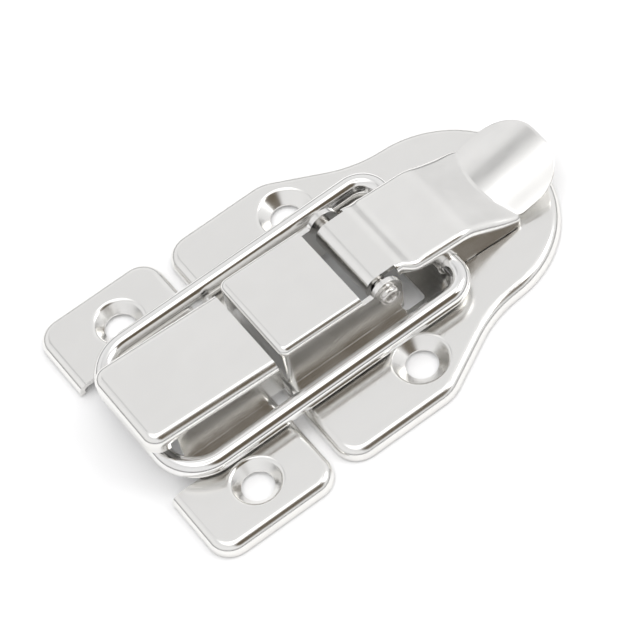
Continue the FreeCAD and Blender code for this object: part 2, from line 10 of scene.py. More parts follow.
# %% The CAD frame
import bpy
import json
import math
from mathutils import Matrix, Vector
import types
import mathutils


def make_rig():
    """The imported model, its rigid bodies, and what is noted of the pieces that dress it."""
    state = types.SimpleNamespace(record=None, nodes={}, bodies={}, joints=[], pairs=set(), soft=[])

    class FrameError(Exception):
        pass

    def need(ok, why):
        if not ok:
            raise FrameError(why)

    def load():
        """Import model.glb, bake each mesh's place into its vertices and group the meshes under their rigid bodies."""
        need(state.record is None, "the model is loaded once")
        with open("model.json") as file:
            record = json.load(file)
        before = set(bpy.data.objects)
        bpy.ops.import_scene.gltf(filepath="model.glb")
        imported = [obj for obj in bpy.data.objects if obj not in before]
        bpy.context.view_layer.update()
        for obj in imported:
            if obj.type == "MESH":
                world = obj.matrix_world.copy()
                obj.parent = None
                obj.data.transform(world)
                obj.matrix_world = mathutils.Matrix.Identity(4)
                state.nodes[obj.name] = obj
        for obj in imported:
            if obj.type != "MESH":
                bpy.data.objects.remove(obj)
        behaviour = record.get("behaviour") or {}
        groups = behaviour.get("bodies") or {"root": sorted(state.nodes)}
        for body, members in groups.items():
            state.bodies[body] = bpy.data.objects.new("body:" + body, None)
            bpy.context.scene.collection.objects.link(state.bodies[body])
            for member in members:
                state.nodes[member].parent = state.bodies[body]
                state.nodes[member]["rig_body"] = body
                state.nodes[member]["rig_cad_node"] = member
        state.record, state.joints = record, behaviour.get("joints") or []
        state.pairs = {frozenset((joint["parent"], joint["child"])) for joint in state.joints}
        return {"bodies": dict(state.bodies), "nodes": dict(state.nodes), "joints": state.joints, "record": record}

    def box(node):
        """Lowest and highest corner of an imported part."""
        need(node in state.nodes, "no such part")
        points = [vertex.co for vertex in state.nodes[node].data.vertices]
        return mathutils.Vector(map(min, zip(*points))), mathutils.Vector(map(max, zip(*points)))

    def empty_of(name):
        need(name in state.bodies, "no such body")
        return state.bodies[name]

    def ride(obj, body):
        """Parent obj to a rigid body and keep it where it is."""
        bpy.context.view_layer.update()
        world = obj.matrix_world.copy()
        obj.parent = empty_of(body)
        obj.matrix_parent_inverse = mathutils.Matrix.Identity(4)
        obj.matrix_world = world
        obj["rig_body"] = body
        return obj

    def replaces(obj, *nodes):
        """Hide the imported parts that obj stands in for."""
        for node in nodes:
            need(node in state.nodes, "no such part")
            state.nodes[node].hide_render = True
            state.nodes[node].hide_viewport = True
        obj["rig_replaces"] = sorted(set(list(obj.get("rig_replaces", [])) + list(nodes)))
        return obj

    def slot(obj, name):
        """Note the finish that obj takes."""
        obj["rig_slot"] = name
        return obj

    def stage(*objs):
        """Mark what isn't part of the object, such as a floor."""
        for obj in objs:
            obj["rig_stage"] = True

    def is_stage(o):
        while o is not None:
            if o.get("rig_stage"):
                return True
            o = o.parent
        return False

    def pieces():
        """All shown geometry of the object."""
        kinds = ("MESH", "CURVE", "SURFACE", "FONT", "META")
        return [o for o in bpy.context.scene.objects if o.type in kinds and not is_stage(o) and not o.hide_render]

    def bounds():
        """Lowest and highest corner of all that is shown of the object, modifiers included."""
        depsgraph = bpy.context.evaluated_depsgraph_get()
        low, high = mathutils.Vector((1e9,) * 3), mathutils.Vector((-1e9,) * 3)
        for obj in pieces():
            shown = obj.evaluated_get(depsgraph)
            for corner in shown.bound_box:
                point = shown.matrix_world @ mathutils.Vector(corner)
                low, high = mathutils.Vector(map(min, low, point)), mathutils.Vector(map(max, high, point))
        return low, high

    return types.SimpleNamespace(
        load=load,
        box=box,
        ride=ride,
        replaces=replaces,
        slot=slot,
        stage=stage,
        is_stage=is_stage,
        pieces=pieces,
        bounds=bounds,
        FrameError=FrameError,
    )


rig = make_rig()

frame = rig.load()
cad_box = [list(corner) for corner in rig.bounds()]
nodes = sorted(frame["nodes"])
print("nodes:", nodes)
print("CAD box:", cad_box)

# %% [markdown]
# ## Working units
#
# A press tool is drawn in millimetres, measured from the keeper's free edge, so the
# sizes below are too. One helper turns such a point into metres in the latch's frame,
# whose origin is the middle of the mounting face.

# %% Millimetres from the keeper's edge
MM = 0.001
HALF_LENGTH = 49.5
GAUGE = 1.1  # sheet thickness
PAN_TOP = 2.7  # top of both plates
BOX_HALF = 10.8  # half the width of the hook box and of the hump
PIVOT_X = 55
PIVOT_Z = 10
PIVOT = (PIVOT_X, PIVOT_Z)
BAR_X = 69.2  # the loop's rear bar, in the lever's lugs
WIRE_Z = 5.6  # height of the wire's centre line


def at(x, y, z):
    return Vector((x - HALF_LENGTH, y, z)) * MM


keeper_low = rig.box("keeper_plate")[0]
print("keeper edge on the CAD:", round(keeper_low.x / MM + HALF_LENGTH, 3), "mm")

# %% [markdown]
# ## Drawing an outline and giving it height
#
# Every press blank starts as an outline. By hand it would be drawn by extruding one
# vertex from point to point and filling the ring, and that is what this helper does.
# Corners are given with their radii, so arcs come out evenly divided.

# %% Outlines with rounded corners
def rounded(corners, steps=8):
    """Points round a polygon of (x, y, radius) corners, each arc in equal steps."""
    points = []
    count = len(corners)
    for index, (x, y, radius) in enumerate(corners):
        here = Vector((x, y))
        before = (Vector(corners[index - 1][:2]) - here).normalized()
        after = (Vector(corners[(index + 1) % count][:2]) - here).normalized()
        if radius <= 0:
            points.append(here)
            continue
        half_angle = before.angle(after) / 2
        centre = here + (before + after).normalized() * radius / math.sin(half_angle)
        reach = radius / math.tan(half_angle)
        start = here + before * reach - centre
        turn = start.angle_signed(here + after * reach - centre)
        for step in range(steps + 1):
            arm = start.copy()
            arm.rotate(Matrix.Rotation(-turn * step / steps, 2))
            points.append(centre + arm)
    return points


def fresh(name):
    """Deselect everything and start a new object as one vertex in edit mode."""
    bpy.ops.object.select_all(action="DESELECT")
    bpy.ops.mesh.primitive_plane_add(size=MM, location=(0, 0, 0))
    piece = bpy.context.object
    piece.name = name
    bpy.ops.object.mode_set(mode="EDIT")
    bpy.ops.mesh.select_mode(type="VERT")
    bpy.ops.mesh.select_all(action="SELECT")
    bpy.ops.mesh.merge(type="CENTER")
    return piece


def trace(points):
    """Move the one vertex to the first point and extrude it from point to point."""
    bpy.ops.transform.translate(value=points[0])
    for first, second in zip(points[:-1], points[1:]):
        bpy.ops.mesh.extrude_region_move(TRANSFORM_OT_translate={"value": second - first})
    bpy.ops.mesh.select_all(action="SELECT")


def draw(name, points, lift):
    """Closed face through the points, then extruded along the lift: a solid prism."""
    piece = fresh(name)
    trace(points)
    bpy.ops.mesh.edge_face_add()
    bpy.ops.mesh.extrude_region_move(TRANSFORM_OT_translate={"value": lift})
    bpy.ops.mesh.select_all(action="SELECT")
    bpy.ops.mesh.normals_make_consistent(inside=False)
    bpy.ops.object.mode_set(mode="OBJECT")
    return piece


def flat_prism(name, corners, low, high, steps=8):
    """Prism standing on the plan outline between two heights."""
    points = [at(p.x, p.y, low) for p in rounded(corners, steps)]
    return draw(name, points, Vector((0, 0, (high - low) * MM)))


def side_prism(name, corners, half_width, steps=8):
    """Prism across the latch with the side view (x, z) as its outline."""
    points = [at(p.x, -half_width, p.y) for p in rounded(corners, steps)]
    return draw(name, points, Vector((0, 2 * half_width * MM, 0)))


# %% [markdown]
# ## Picking edges, rounding them and cutting
#
# Operators act on what is selected, so one helper picks edges by place, and others bevel
# them or run a boolean. A boolean is how a press tool would pierce or trim the sheet.

# %% Edge picking, rounding and cutting
def only(piece):
    """Make the piece the one selected object, and the active one."""
    bpy.ops.object.select_all(action="DESELECT")
    piece.select_set(True)
    bpy.context.view_layer.objects.active = piece


def pick_edges(piece, test):
    """Select the edges whose two ends, in millimetres, pass the test."""
    only(piece)
    bpy.ops.object.mode_set(mode="EDIT")
    bpy.ops.mesh.select_mode(type="EDGE")
    bpy.ops.mesh.select_all(action="DESELECT")
    bpy.ops.object.mode_set(mode="OBJECT")
    found = 0
    mesh = piece.data
    for edge in mesh.edges:
        ends = [mesh.vertices[v].co / MM + Vector((HALF_LENGTH, 0, 0))
                for v in edge.vertices]
        if test(*ends):
            edge.select = True
            found += 1
    bpy.ops.object.mode_set(mode="EDIT")
    return found


def round_edges(piece, radius, segments, test, clamp=True):
    """Round the picked edges with that radius, in millimetres."""
    found = pick_edges(piece, test)
    if found:
        bpy.ops.mesh.bevel(offset_type="OFFSET", offset=radius * MM, segments=segments,
                           profile=0.5, affect="EDGES", clamp_overlap=clamp)
    bpy.ops.object.mode_set(mode="OBJECT")
    print(piece.name, "rounds", found, "edges to", radius, "mm")


def finish_modifier(piece, kind, **settings):
    """Add a modifier with these settings and apply it."""
    only(piece)
    modifier = piece.modifiers.new(kind, kind)
    for name, setting in settings.items():
        setattr(modifier, name, setting)
    bpy.ops.object.modifier_apply(modifier=modifier.name)


def combine(piece, tool, operation):
    """Boolean between two closed solids; the tool is used up."""
    finish_modifier(piece, "BOOLEAN", object=tool, operation=operation, solver="MANIFOLD")
    print(piece.name, operation.lower(), tool.name, len(piece.data.polygons), "faces")
    bpy.data.objects.remove(tool)


def tidy_flats(piece):
    """Merge doubles and take needless edges out of the flat faces."""
    only(piece)
    bpy.ops.object.mode_set(mode="EDIT")
    bpy.ops.mesh.select_all(action="SELECT")
    bpy.ops.mesh.remove_doubles(threshold=0.004 * MM)
    bpy.ops.mesh.dissolve_limited(angle_limit=math.radians(0.4))
    bpy.ops.object.mode_set(mode="OBJECT")


def soften(piece, width=0.14, segments=2, sharp=38):
    """Round off sheared edges and settle the shading: flats stay flat, bends run smooth."""
    finish_modifier(piece, "BEVEL", width=width * MM, segments=segments,
                    limit_method="ANGLE", angle_limit=math.radians(sharp),
                    miter_outer="MITER_ARC")
    bpy.ops.object.shade_smooth_by_angle(angle=math.radians(50))
    finish_modifier(piece, "WEIGHTED_NORMAL", weight=80, keep_sharp=True)
    print(piece.name, "has", len(piece.data.polygons), "faces")

# %% [markdown]
# ## Pressed dimples
#
# Each screw hole sits in a dimple that a round punch has pushed down, so its mouth is a
# soft roll and only its lower edge is sheared. The sheet under it is a turned cup, and the
# space for the screw head is a turned plug that is cut away. Both come from a profile
# spun round the hole's axis.

# %% Turned pieces
def weld():
    """Merge the seam's double points, face the normals outwards and leave edit mode."""
    bpy.ops.mesh.select_all(action="SELECT")
    bpy.ops.mesh.remove_doubles(threshold=0.001 * MM)
    bpy.ops.mesh.normals_make_consistent(inside=False)
    bpy.ops.object.mode_set(mode="OBJECT")


def turned(name, profile, x, y, steps=64):
    """Solid of revolution about Z from (radius, z) points that start and end on the axis."""
    piece = fresh(name)
    points = [at(x + radius, y, z) for radius, z in profile]
    trace(points)
    bpy.ops.mesh.spin(steps=steps, angle=math.tau, center=at(x, y, 0), axis=(0, 0, 1))
    weld()
    return piece


HOLE_R = 3.2
SINK_Z = 0.75
MOUTH_ROLL = 1.3


def dimple(plate, x, y, rim):
    """Push a countersunk dimple into the plate; rim is the mouth's radius."""
    cup = turned(f"{plate.name}_cup", [
        (0, 0.35), (HOLE_R + 0.9, 0.35), (rim + 1.0, PAN_TOP - 0.35),
        (0, PAN_TOP - 0.35)], x, y)
    combine(plate, cup, "UNION")
    lean = math.atan2(PAN_TOP - SINK_Z, rim - HOLE_R)
    reach = MOUTH_ROLL * math.tan(lean / 2)
    profile = [(0, -1), (HOLE_R, -1), (HOLE_R, SINK_Z)]
    for step in range(9):
        angle = lean * (1 - step / 8)
        profile.append((rim + reach - MOUTH_ROLL * math.sin(angle),
                        PAN_TOP + 0.002 - MOUTH_ROLL * (1 - math.cos(angle))))
    profile += [(rim + reach, 5), (0, 5)]
    plug = turned(f"{plate.name}_plug", profile, x, y)
    combine(plate, plug, "DIFFERENCE")


def block(name, low, high):
    """Plain cutting block between two corners in millimetres."""
    bpy.ops.object.select_all(action="DESELECT")
    size = [(b - a) * MM for a, b in zip(low, high)]
    middle = at(*[(a + b) / 2 for a, b in zip(low, high)])
    bpy.ops.mesh.primitive_cube_add(size=1, location=middle, scale=size)
    bpy.ops.object.transform_apply(location=True, rotation=True, scale=True)
    bpy.context.object.name = name
    return bpy.context.object


def rod(name, radius, half_width, x, z, vertices=48):
    """Plain cutting rod across the latch."""
    bpy.ops.object.select_all(action="DESELECT")
    bpy.ops.mesh.primitive_cylinder_add(vertices=vertices, radius=radius * MM,
                                        depth=2 * half_width * MM, location=at(x, 0, z),
                                        rotation=(math.pi / 2, 0, 0))
    bpy.ops.object.transform_apply(location=True, rotation=True, scale=True)
    bpy.context.object.name = name
    return bpy.context.object


# %% [markdown]
# ## The keeper plate
#
# The keeper is drawn from one sheet: a shallow pan with a rolled rim, and a box that
# rises from it, closed over the loop's bar by a rounded nose. Outer solid first, then the
# hollow is taken out of it, so every wall keeps the sheet's thickness.

# %% Keeper: outer skin
RIM_R = 1.9  # rolled rim of a plate
BOX_R = 2.1  # top edges of the hook box
KEEPER_LENGTH = 27.3
KEEPER_HALF = 32.5
HOOK_NOSE = 1.15
NOTCH_END = 6.8


def level_edges(height):
    return lambda a, b: abs(a.z - height) < 0.01 and abs(b.z - height) < 0.01


def pan_corners(left, right, half, radius):
    return [(left, half, radius), (right, half, radius), (right, -half, radius),
            (left, -half, radius)]


keeper = flat_prism("keeper_pressed", pan_corners(0, KEEPER_LENGTH, KEEPER_HALF, 4.8),
                     0, PAN_TOP, 14)
round_edges(keeper, RIM_R, 7, level_edges(PAN_TOP))


def hook_solid(name, inset, corners):
    """Hook box with rounded nose corners and top edges, drawn in by the inset."""
    solid = side_prism(name, corners, BOX_HALF - inset)
    nose = HOOK_NOSE + inset
    round_edges(solid, 3.4 - inset, 9,
                lambda a, b: abs(a.x - nose) < 0.01 and abs(b.x - nose) < 0.01
                and abs(a.z - b.z) > 1)
    low = 11.2 - inset
    end = max(x for x, z, r in corners) - 0.05
    round_edges(solid, BOX_R - inset, 8,
                lambda a, b: min(a.z, b.z) > low and min(a.x, b.x) < end
                and abs(a.z - b.z) < 2.2)
    return solid


hook = hook_solid("hook_skin", 0, [
    (HOOK_NOSE, 9.3, 0), (HOOK_NOSE, 13.3, 0), (29.8, 11.3, 0), (29.8, 3.6, 0),
    (25.8, 3.6, 0), (25.8, 1.6, 0), (NOTCH_END, 1.6, 0), (NOTCH_END, 9.3, 0)])
combine(keeper, hook, "UNION")
tidy_flats(keeper)
round_edges(keeper, 0.7, 4, lambda a, b: all(
    abs(p.z - PAN_TOP) < 0.01 and abs(abs(p.y) - BOX_HALF) < 0.01 and 6.7 < p.x < 25.9
    for p in (a, b)))
print("keeper skin faces:", len(keeper.data.polygons))

# %% Keeper: hollow, notch, relief slots and screw holes
core = flat_prism("keeper_core", pan_corners(
    GAUGE, KEEPER_LENGTH - GAUGE, KEEPER_HALF - GAUGE, 3.7), -1, PAN_TOP - GAUGE, 14)
round_edges(core, RIM_R - GAUGE, 3, level_edges(PAN_TOP - GAUGE))
combine(keeper, core, "DIFFERENCE")
tunnel = hook_solid("hook_tunnel", GAUGE, [
    (2.25, -1, 0), (2.25, 12.2, 0), (30.8, 10.2, 0), (30.8, -1, 0)])
combine(keeper, tunnel, "DIFFERENCE")
combine(keeper, block("loop_notch", (-1, -15.7, -1), (NOTCH_END, 15.7, 3.2)), "DIFFERENCE")
combine(keeper, block("relief_slots", (5.15, -11.8, 2.9), (NOTCH_END, 11.8, 10.6)),
        "DIFFERENCE")
for side in (1, -1):
    dimple(keeper, 14.35, side * 23.05, 5.0)
tidy_flats(keeper)
soften(keeper)
keeper_size = keeper.dimensions / MM
print("keeper:", [round(v, 2) for v in keeper_size])

# %% [markdown]
# ## The base plate
#
# The base plate has a square front, sloping shoulders and a round tail that flow into
# each other. Only the front corners, shoulders, hollow waist and tail are arcs, so the
# outline is worked out for one side and mirrored. The same arcs, drawn in by the sheet's
# thickness, give the hollow underneath.

# %% Base plate: outline and skin
def arc(centre, radius, first, last, steps):
    """Points along an arc; angles in degrees."""
    points = []
    for step in range(steps + 1):
        angle = math.radians(first + (last - first) * step / steps)
        points.append(Vector((centre[0] + radius * math.cos(angle),
                              centre[1] + radius * math.sin(angle))))
    return points


SHOULDER = (53.6, 31.65)
SHOULDER_R = 8
SHOULDER_FALL = 29  # degrees
WAIST_R = 25
TAIL_X = 75
TAIL_R = 22.25


def base_outline(inset):
    """Plan of the base plate, drawn in by the inset."""
    slope = math.radians(SHOULDER_FALL)
    shoulder = Vector(SHOULDER)
    down = Vector((math.cos(slope), -math.sin(slope)))
    out = Vector((math.sin(slope), math.cos(slope)))
    tail = Vector((TAIL_X, 0))
    gap = shoulder + out * WAIST_R - tail
    along = -down.dot(gap)
    waist = shoulder + out * WAIST_R + down * (
        along - math.sqrt(along ** 2 - gap.length_squared + (TAIL_R + WAIST_R) ** 2))
    lean = math.degrees(math.atan2(waist.y, waist.x - TAIL_X))
    half = arc((34.65, 26.65), 5 - inset, 180, 90, 10)
    half += arc((SHOULDER[0] - SHOULDER_R * math.tan(slope / 2), SHOULDER[1] - SHOULDER_R),
                SHOULDER_R - inset, 90, 90 - SHOULDER_FALL, 8)
    half += arc(waist, WAIST_R + inset, 270 - SHOULDER_FALL, 180 + lean, 10)
    half += arc((TAIL_X, 0), TAIL_R - inset, lean, 0, 26)[1:]
    return half + [Vector((p.x, -p.y)) for p in reversed(half[:-1])]


def base_prism(name, inset, low, high):
    points = [at(p.x, p.y, low) for p in base_outline(inset)]
    return draw(name, points, Vector((0, 0, (high - low) * MM)))


HUMP_FRONT = 31.05
HUMP_END = 49.55


def hump_solid(name, inset, corners, radius, limit):
    """Hump side view across the latch, with rounded front corners and top edges."""
    solid = side_prism(name, corners, BOX_HALF - inset)
    front = HUMP_FRONT + inset
    round_edges(solid, radius, 6, lambda a, b: abs(a.x - front) < 0.01
                and abs(b.x - front) < 0.01 and abs(a.z - b.z) > 1)
    low = 12.7 - inset
    round_edges(solid, radius, 7, lambda a, b: min(a.z, b.z) > low
                and max(a.x, b.x) < HUMP_END + 0.05 and min(a.x, b.x) < HUMP_END - 0.05
                and max(a.z, b.z) < limit)
    return solid


base = base_prism("base_pressed", 0, 0, PAN_TOP)
round_edges(base, RIM_R, 7, level_edges(PAN_TOP))
ear = [(p.x, p.y, 0) for p in arc(PIVOT, 3.4, 155.7, 0, 16)]
hump = hump_solid("hump_skin", 0, [
    (HUMP_FRONT, 1.6, 0), (HUMP_FRONT, 13.59, 0), (HUMP_END, 12.8, 0),
    (HUMP_END, 11.4, 0)] + ear
    + [(57.5, 1.6, 0)], 1.9, 14)
combine(base, hump, "UNION")
tidy_flats(base)
print("base skin faces:", len(base.data.polygons))

# %% Base plate: hollow, window, pin holes and screw holes
core = base_prism("base_core", GAUGE, -1, PAN_TOP - GAUGE)
round_edges(core, RIM_R - GAUGE, 3, level_edges(PAN_TOP - GAUGE))
combine(base, core, "DIFFERENCE")
tunnel = hump_solid("hump_tunnel", GAUGE, [
    (32.15, -1, 0), (32.15, 12.5, 0), (HUMP_END, 11.7, 0), (HUMP_END, 20, 0),
    (59.4, 20, 0), (59.4, -1, 0)], 0.8, 13)
combine(base, tunnel, "DIFFERENCE")
window = flat_prism("base_window", [(57.2, 11.8, 0.8), (62, 11.8, 0.8), (62, -11.8, 0.8),
                                    (57.2, -11.8, 0.8)], -1, 2.9, 4)
combine(base, window, "DIFFERENCE")
combine(base, rod("pin_bore", 1.61, 12, PIVOT_X, PIVOT_Z), "DIFFERENCE")
for side in (1, -1):
    dimple(base, 53.06, side * 22.1, 5.6)
tidy_flats(base)
soften(base)
print("base:", [round(v / MM, 2) for v in base.dimensions])

# %% [markdown]
# ## The pivot pin
#
# The pin is a tubular rivet. Its ends are rolled over the ears, so each is a small
# doughnut with the bore in its middle. One closed section is spun round the pin's axis.

# %% Pivot pin
EAR_FACE = 10.83
HEAD = 1.27
PIN_BORE_R = 0.9
ROLL_R = 0.62  # the rolled lip of a head
section = [(PIN_BORE_R, -EAR_FACE - HEAD + 0.35), (PIN_BORE_R, EAR_FACE + HEAD - 0.35)]
section += [(1.45 + ROLL_R * math.cos(t), EAR_FACE + HEAD - ROLL_R + ROLL_R * math.sin(t))
            for t in (math.radians(a) for a in range(140, -1, -20))]
section += [(2.14, EAR_FACE + 0.3), (2.0, EAR_FACE), (1.57, EAR_FACE)]
section += [(r, -y) for r, y in reversed(section[2:])]
pin = fresh("pivot_tube")
ring = [at(PIVOT_X, y, PIVOT_Z + r) for r, y in section]
trace(ring)
bpy.ops.mesh.edge_face_add()
bpy.ops.mesh.delete(type="ONLY_FACE")
bpy.ops.mesh.select_all(action="SELECT")
bpy.ops.mesh.spin(steps=48, angle=math.tau, center=at(PIVOT_X, 0, PIVOT_Z),
                  axis=(0, 1, 0))
weld()
bpy.ops.object.shade_smooth_by_angle(angle=math.radians(40))
print("pin:", [round(v / MM, 2) for v in pin.dimensions])

# %% [markdown]
# ## The wire loop
#
# The loop is one round wire, bent wide at the hook and tighter at the lever. Its centre
# line is drawn as an outline, turned into a curve, and given the wire's thickness.

# %% Wire loop
WIRE_R = 2.0
LOOP_HALF = 16.7
HOOK_BAR_X = 3.7
line = [at(p.x, p.y, WIRE_Z) for p in rounded([
    (HOOK_BAR_X, LOOP_HALF, 8.0), (BAR_X, LOOP_HALF, 4.6), (BAR_X, -LOOP_HALF, 4.6),
    (HOOK_BAR_X, -LOOP_HALF, 8.0)], 18)]
centre_line = bpy.data.curves.new("wire_line", "CURVE")
centre_line.dimensions = "3D"
spline = centre_line.splines.new("POLY")
spline.points.add(len(line) - 1)
for spot, point in zip(spline.points, line):
    spot.co = (*point, 1)
spline.use_cyclic_u = True
centre_line.bevel_depth = WIRE_R * MM
centre_line.bevel_resolution = 10
loop = bpy.data.objects.new("wire_bent", centre_line)
bpy.context.collection.objects.link(loop)
only(loop)
bpy.ops.object.convert(target="MESH")
loop = bpy.context.object
bpy.ops.object.mode_set(mode="EDIT")
weld()
bpy.ops.object.shade_smooth()
print("loop:", [round(v / MM, 2) for v in loop.dimensions])

# %% [markdown]
# ## The lever
#
# The lever is one sheet. It rolls round the pin, runs back as a raised pad, steps down to
# a long flat, dives to a crease and rises again as a thumb lip that is arched from side
# to side. Its long edges fold down into skirts. A grid is shaped row by row along that
# path, given its thickness, and then trimmed as a die would trim it.

# %% Lever: the path of the sheet's top
KNUCKLE_R = 2.75
KNUCKLE_BULGE = 0.38
KNUCKLE_STEPS = 30
PAD_Z = PIVOT_Z + KNUCKLE_R
SLOPE_X = 80  # where the straight slope starts
SLOPE_Z = 7.43
path = []
for step, point in enumerate(arc(PIVOT, KNUCKLE_R, 312, 90, KNUCKLE_STEPS)):
    swell = 1 + KNUCKLE_BULGE / KNUCKLE_R * math.sin(math.pi * step / KNUCKLE_STEPS)
    path.append(Vector(PIVOT) + (point - Vector(PIVOT)) * swell)
bends = rounded([(PIVOT_X, PAD_Z, 0), (59.9, PAD_Z, 4.2), (62.7, 11.16, 5.0),
                 (74.2, 10.25, 9), (SLOPE_X, SLOPE_Z, 0)], 7)
spaced = [bends[0]]
for point in bends[1:]:
    gap = (point - spaced[-1]).length
    pieces = max(1, round(gap / 0.9))
    spaced += [spaced[-1].lerp(point, (k + 1) / pieces) for k in range(pieces)]
path += spaced[1:]
print("rows before the crease:", len(path))

# %% Lever: widths along the path and the shape of the lip
def ease(value, first, last):
    """0 before first, 1 after last, smooth between."""
    t = min(1, max(0, (value - first) / (last - first)))
    return t * t * (3 - 2 * t)


def half_width(x):
    return 9.35 + 0.95 * ease(x, 60.2, 63.4) + 0.5 * ease(x, 76, 85)


def fold_radius(x):
    return 1.25 + 0.45 * ease(x, 60.5, 65) - 0.6 * ease(x, 80, 86)


SLOPE_FALL = 0.487
CREASE_HALF = 9.8  # half the width at the crease
LIP_X = 83
LIP_Z = 5.8
LIP_RISE = 0.191
LIP_HALF = 10.1
LIP_CORNER = 8.1
ARCH_R = 29.0
TIP_X = 98.78


def slope_height(x):
    return SLOPE_Z - SLOPE_FALL * (x - SLOPE_X)


def lip_height(x, y):
    return LIP_Z + LIP_RISE * (x - LIP_X) - ARCH_R + math.sqrt(ARCH_R ** 2 - y ** 2)


def crease(y):
    """Where the slope meets the arched lip."""
    drop = ARCH_R - math.sqrt(ARCH_R ** 2 - y ** 2)
    return (SLOPE_Z + SLOPE_FALL * SLOPE_X - LIP_Z + LIP_RISE * LIP_X + drop) / (
        SLOPE_FALL + LIP_RISE)


def lip_end(y):
    over = max(0, abs(y) - (LIP_HALF - LIP_CORNER))
    return TIP_X - LIP_CORNER + math.sqrt(max(0, LIP_CORNER ** 2 - over ** 2))


print("crease from", round(crease(0), 2), "to", round(crease(CREASE_HALF), 2))

# %% Lever: shaping the grid
FLAT = 40
FOLD = 6
SKIRT = 5
SLOPE_ROWS = 8
LIP_ROWS = 26
FIRST_LIP_SHARE = 0.03  # the first lip row hugs the crease, to keep it crisp
SKIRT_BOTTOM = 2.95
columns = FLAT + 2 * (FOLD + SKIRT)
rows = len(path) + SLOPE_ROWS + LIP_ROWS
bpy.ops.object.select_all(action="DESELECT")
bpy.ops.mesh.primitive_grid_add(x_subdivisions=rows - 1, y_subdivisions=columns, size=1)
lever = bpy.context.object
lever.name = "lever_folded"


def across(column):
    """Side, share of the flat, fold angle share and skirt share of a column."""
    place = column - columns / 2
    side = 1 if place >= 0 else -1
    place = abs(place)
    flat = math.sin(min(1, place / (FLAT / 2)) * math.pi / 2)
    fold = min(1, max(0, (place - FLAT / 2) / FOLD))
    skirt = max(0, (place - FLAT / 2 - FOLD) / SKIRT)
    return side, flat, fold, skirt


def lever_point(row, column):
    """Place of a grid point: along the path, down a folded edge, or on the lip."""
    side, flat, fold, skirt = across(column)
    if row < len(path):
        spot = path[row]
        before = path[max(0, row - 1)]
        after = path[min(len(path) - 1, row + 1)]
        run = (after - before).normalized()
        normal = Vector((-run.y, run.x))
    else:
        step = min(1, (row - len(path) + 1) / SLOPE_ROWS)
        run = Vector((1, -SLOPE_FALL)).normalized()
        normal = Vector((-run.y, run.x))
        x = SLOPE_X + step * (crease(flat * CREASE_HALF) - SLOPE_X)
        spot = Vector((x, slope_height(x)))
    radius = fold_radius(spot.x)
    half = half_width(spot.x)
    angle = fold * math.pi / 2
    y = flat * (half - radius) + radius * math.sin(angle)
    sink = radius * (1 - math.cos(angle))
    x = spot.x - normal.x * sink
    z = spot.y - normal.y * sink
    y += skirt * 0.09 * max(0, z - SKIRT_BOTTOM) * ease(x, 64, SLOPE_X)
    z += skirt * (SKIRT_BOTTOM - z)
    beyond = row - len(path) - SLOPE_ROWS + 1
    if beyond > 0 and fold == 0:
        t = FIRST_LIP_SHARE if beyond == 1 else beyond / LIP_ROWS
        y = flat * (LIP_HALF + (CREASE_HALF - LIP_HALF) * (1 - min(1, t * 6)))
        start = crease(y)
        x = start + t * (lip_end(y) - start)
        z = lip_height(x, y)
    return at(x, side * y, z)


grid = lever.data
flat_places = {}
xs = sorted({round(v.co.x, 5) for v in grid.vertices})
ys = sorted({round(v.co.y, 5) for v in grid.vertices})
print("grid", len(xs), "by", len(ys), "for", rows, "rows")
for vertex in grid.vertices:
    row = xs.index(round(vertex.co.x, 5))
    column = ys.index(round(vertex.co.y, 5))
    flat_places[vertex.index] = (row, column)
for index, (row, column) in flat_places.items():
    grid.vertices[index].co = lever_point(row, column)

# %% Lever: cutting the sheet's blank out of the grid
PAD_START = 34  # first row with folded edges
LAST_BODY = len(path) + SLOPE_ROWS - 1
bpy.ops.object.mode_set(mode="EDIT")
bpy.ops.mesh.select_mode(type="FACE")
bpy.ops.mesh.select_all(action="DESELECT")
bpy.ops.object.mode_set(mode="OBJECT")
for face in grid.polygons:
    spots = [flat_places[v] for v in face.vertices]
    folded = any(across(column)[2] > 0 for row, column in spots)
    first = min(row for row, column in spots)
    last = max(row for row, column in spots)
    if folded and (first < PAD_START or last > LAST_BODY):
        face.select = True
bpy.ops.object.mode_set(mode="EDIT")
bpy.ops.mesh.delete(type="FACE")
bpy.ops.mesh.select_all(action="SELECT")
bpy.ops.mesh.normals_make_consistent(inside=False)
bpy.ops.object.mode_set(mode="OBJECT")
top_face = min(grid.polygons, key=lambda f: (f.center - at(70, 0, 10.6)).length)
if top_face.normal.z < 0:
    bpy.ops.object.mode_set(mode="EDIT")
    bpy.ops.mesh.select_all(action="SELECT")
    bpy.ops.mesh.flip_normals()
    bpy.ops.object.mode_set(mode="OBJECT")
finish_modifier(lever, "SOLIDIFY", thickness=GAUGE * MM, offset=-1, use_even_offset=True)
print("lever faces with thickness:", len(grid.polygons))

# %% Lever: trimming the skirts and piercing them for the wire
trim = [(50, -1, 0), (50, 10.45, 0), (59.5, 10.45, 2), (65.6, 8.9, 1), (66.44, 6.2, 1)]
trim += [(p.x, p.y, 0) for p in arc((BAR_X, WIRE_Z), 2.76, 180, 262, 8)]
trim += [(BAR_X, SKIRT_BOTTOM, 0), (BAR_X, -1, 0)]
cutter = side_prism("flange_trim", trim, 14, 4)
holder = block("keep_knuckle", (50, -9.0, -2), (58.5, 9.0, 11))
combine(cutter, holder, "DIFFERENCE")
combine(lever, cutter, "DIFFERENCE")
combine(lever, rod("wire_bore", 2.06, 14, BAR_X, WIRE_Z), "DIFFERENCE")
soften(lever, 0.12, 2, 42)
print("lever:", [round(v / MM, 2) for v in lever.dimensions])

